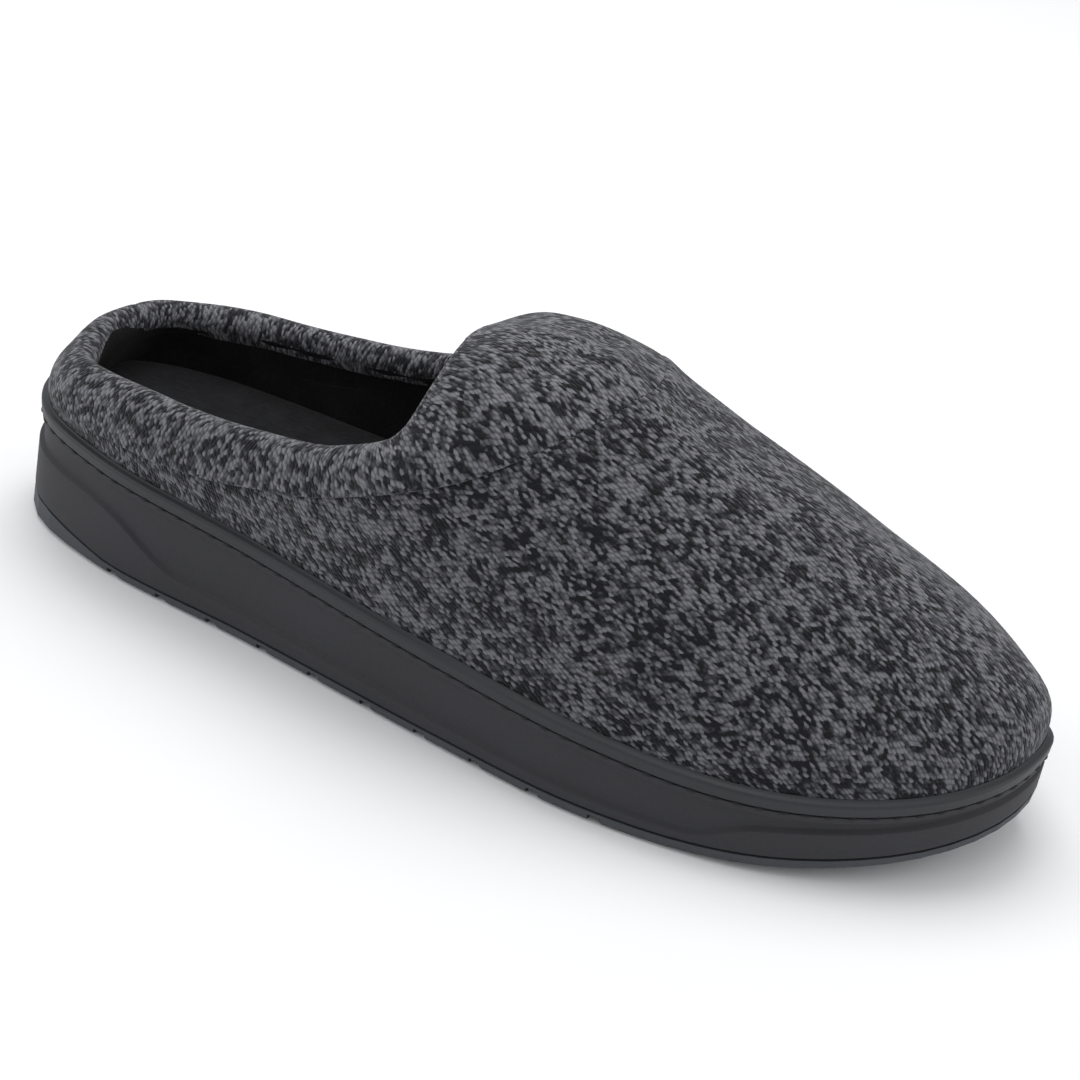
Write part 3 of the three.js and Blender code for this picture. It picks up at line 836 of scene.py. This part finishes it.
class SLIPPER_OT_rand(bpy.types.Operator):
    """Piping round the foot of the upper"""

    bl_idname = "slipper.rand"
    bl_label = "Rand"

    def execute(self, context):
        sizes = context.scene.slipper_sole
        piece = softened(piece_from(merged_form("rand"), "foam_rand"), COARSE_LEVELS)
        dress(piece, foam_finish("piping_foam", sizes.piping_colour, *PIPING_GLOSS))
        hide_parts("rand")
        self.stitches(sizes)
        return {"FINISHED"}

    def stitches(self, sizes):
        """A row of stitches in the groove between the piping and the foam."""
        path = groove_path(STITCH_STEPS)
        length = sum((end - start).length for start, end in zip(path, path[1:]))
        count = round(length / sizes.stitch_pitch)
        form = bmesh.new()
        for place, way in spaced(path, length, count):
            out = way.cross(Vector((0, 0, 1))).normalized()
            rows = [[axis[row] for axis in (way, out, out.cross(way) * -1)] for row in range(3)]
            turn = Matrix(rows).to_4x4()
            size = Matrix.Diagonal((*(Vector(STITCH_SIZE) / 2), 1))
            where = Matrix.Translation(place + out * STITCH_OUT + Vector((0, 0, STITCH_UP)))
            bmesh.ops.create_uvsphere(form, u_segments=STITCH_SEGMENTS, v_segments=STITCH_RINGS, radius=1,
                                      matrix=where @ turn @ size)
        for face in form.faces:
            face.smooth = True
        dress(piece_from(form, "rand_stitches"), thread_finish("sewing_thread"))


class SLIPPER_OT_sole(bpy.types.Operator):
    """Foam sole and its tread"""

    bl_idname = "slipper.sole"
    bl_label = "Sole"

    def execute(self, context):
        sizes = context.scene.slipper_sole
        form = merged_form("midsole")
        crease(form, SOLE_EDGE_ANGLE, 1.0)
        piece = softened(piece_from(form, "foam_sole"), COARSE_LEVELS)
        rounded_edges(piece, SOLE_EDGE_ANGLE, sizes.edge)
        dress(piece, foam_finish("sole_foam", sizes.foam_colour, *FOAM_GLOSS))
        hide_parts("midsole")
        rubber = foam_finish("tread_rubber", sizes.tread_colour, *TREAD_GLOSS)
        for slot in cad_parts["outsole"].material_slots:
            slot.link = "OBJECT"
            slot.material = rubber
        return {"FINISHED"}


# The studio: the sky's colour and strength, and each softbox's name, place, side and power in watts
SKY_COLOUR = (0.97, 0.98, 1.0)
SKY_STRENGTH = 0.62
FLOOR_ROUGHNESS = 0.85
SOFTBOXES = [
    ("key", Vector((-0.2, 0.35, 1.2)), 0.9, 9.0),
    ("left", Vector((-1.1, -0.4, 0.7)), 0.7, 4.0),
    ("right", Vector((1.1, 0.3, 0.6)), 0.7, 3.0),
]
NEAREST_SEEN = 10 * MM


class SLIPPER_OT_stage(bpy.types.Operator):
    """Floor, light and camera"""

    bl_idname = "slipper.stage"
    bl_label = "Stage"

    def execute(self, context):
        sizes = context.scene.slipper_stage
        self.floor(sizes)
        self.light()
        self.camera(sizes)
        return {"FINISHED"}

    def floor(self, sizes):
        form = bmesh.new()
        bmesh.ops.create_grid(form, x_segments=1, y_segments=1, size=sizes.floor_size / 2)
        piece = piece_from(form, "floor")
        board = Board("plain_floor")
        paint = board.finish(Base_Color=opaque(sizes.floor_colour), Roughness=FLOOR_ROUGHNESS)
        piece.data.materials.append(paint)

    def light(self):
        world = bpy.data.worlds.new("studio")
        world.use_nodes = True
        sky = next(node for node in world.node_tree.nodes if node.type == "BACKGROUND")
        sky.inputs["Color"].default_value = opaque(SKY_COLOUR)
        sky.inputs["Strength"].default_value = SKY_STRENGTH
        bpy.context.scene.world = world
        bpy.context.scene.view_settings.view_transform = "Standard"
        for box in SOFTBOXES:
            self.softbox(*box)

    def softbox(self, name, place, side, power):
        lamp = bpy.data.lights.new(name, "AREA")
        lamp.shape = "SQUARE"
        lamp.size = side
        lamp.energy = power
        holder = bpy.data.objects.new(name, lamp)
        holder.location = place
        holder.rotation_euler = (-place).to_track_quat("-Z", "Y").to_euler()
        bpy.context.scene.collection.objects.link(holder)

    def camera(self, sizes):
        turn, tilt, roll = sizes.azimuth, sizes.elevation, sizes.roll
        back = Vector((math.sin(turn) * math.cos(tilt), -math.cos(turn) * math.cos(tilt), math.sin(tilt)))
        right = Vector((math.cos(turn), math.sin(turn), 0))
        up = back.cross(right)
        lens = bpy.data.cameras.new("camera")
        lens.sensor_width = SENSOR_WIDTH
        lens.lens = sizes.focal_pixels / FRAME_PIXELS * SENSOR_WIDTH
        lens.shift_x = 0.5 - sizes.centre[0] / FRAME_PIXELS
        lens.shift_y = sizes.centre[1] / FRAME_PIXELS - 0.5
        lens.clip_start = NEAREST_SEEN
        holder = bpy.data.objects.new("camera", lens)
        across = math.cos(roll) * right + math.sin(roll) * up
        upright = math.cos(roll) * up - math.sin(roll) * right
        basis = [across, upright, back]
        rows = [[axis[row] for axis in basis] for row in range(3)]
        holder.matrix_world = Matrix(rows).to_4x4()
        holder.location = Vector(sizes.target) + back * sizes.distance
        bpy.context.scene.collection.objects.link(holder)
        bpy.context.scene.camera = holder


class SLIPPER_PT_panel(bpy.types.Panel):
    """The slipper's pieces, each with its own button"""

    bl_idname = "SLIPPER_PT_panel"
    bl_label = "Slipper"
    bl_space_type = "VIEW_3D"
    bl_region_type = "UI"
    bl_category = "Slipper"

    def draw(self, context):
        for operator in OPERATORS:
            self.layout.operator(operator.bl_idname)


SIZE_GROUPS = {
    "slipper_stage": StageSizes,
    "slipper_knit": KnitSizes,
    "slipper_fleece": FleeceSizes,
    "slipper_sole": SoleSizes,
}
OPERATORS = [
    SLIPPER_OT_stage, SLIPPER_OT_sole, SLIPPER_OT_rand, SLIPPER_OT_upper, SLIPPER_OT_collar,
    SLIPPER_OT_lining, SLIPPER_OT_footbed,
]


def register():
    """Makes the sizes, the operators and the panel known to Blender."""
    for name, group in SIZE_GROUPS.items():
        bpy.utils.register_class(group)
        setattr(bpy.types.Scene, name, bpy.props.PointerProperty(type=group))
    for operator in OPERATORS:
        bpy.utils.register_class(operator)
    bpy.utils.register_class(SLIPPER_PT_panel)


def unregister():
    """Takes them out again."""
    bpy.utils.unregister_class(SLIPPER_PT_panel)
    for operator in reversed(OPERATORS):
        bpy.utils.unregister_class(operator)
    for name, group in SIZE_GROUPS.items():
        delattr(bpy.types.Scene, name)
        bpy.utils.unregister_class(group)


def main():
    """Makes the stage and every piece."""
    register()
    bpy.ops.slipper.stage()
    bpy.ops.slipper.sole()
    bpy.ops.slipper.rand()
    bpy.ops.slipper.upper()
    bpy.ops.slipper.collar()
    bpy.ops.slipper.lining()
    bpy.ops.slipper.footbed()


if __name__ == "__main__":
    main()
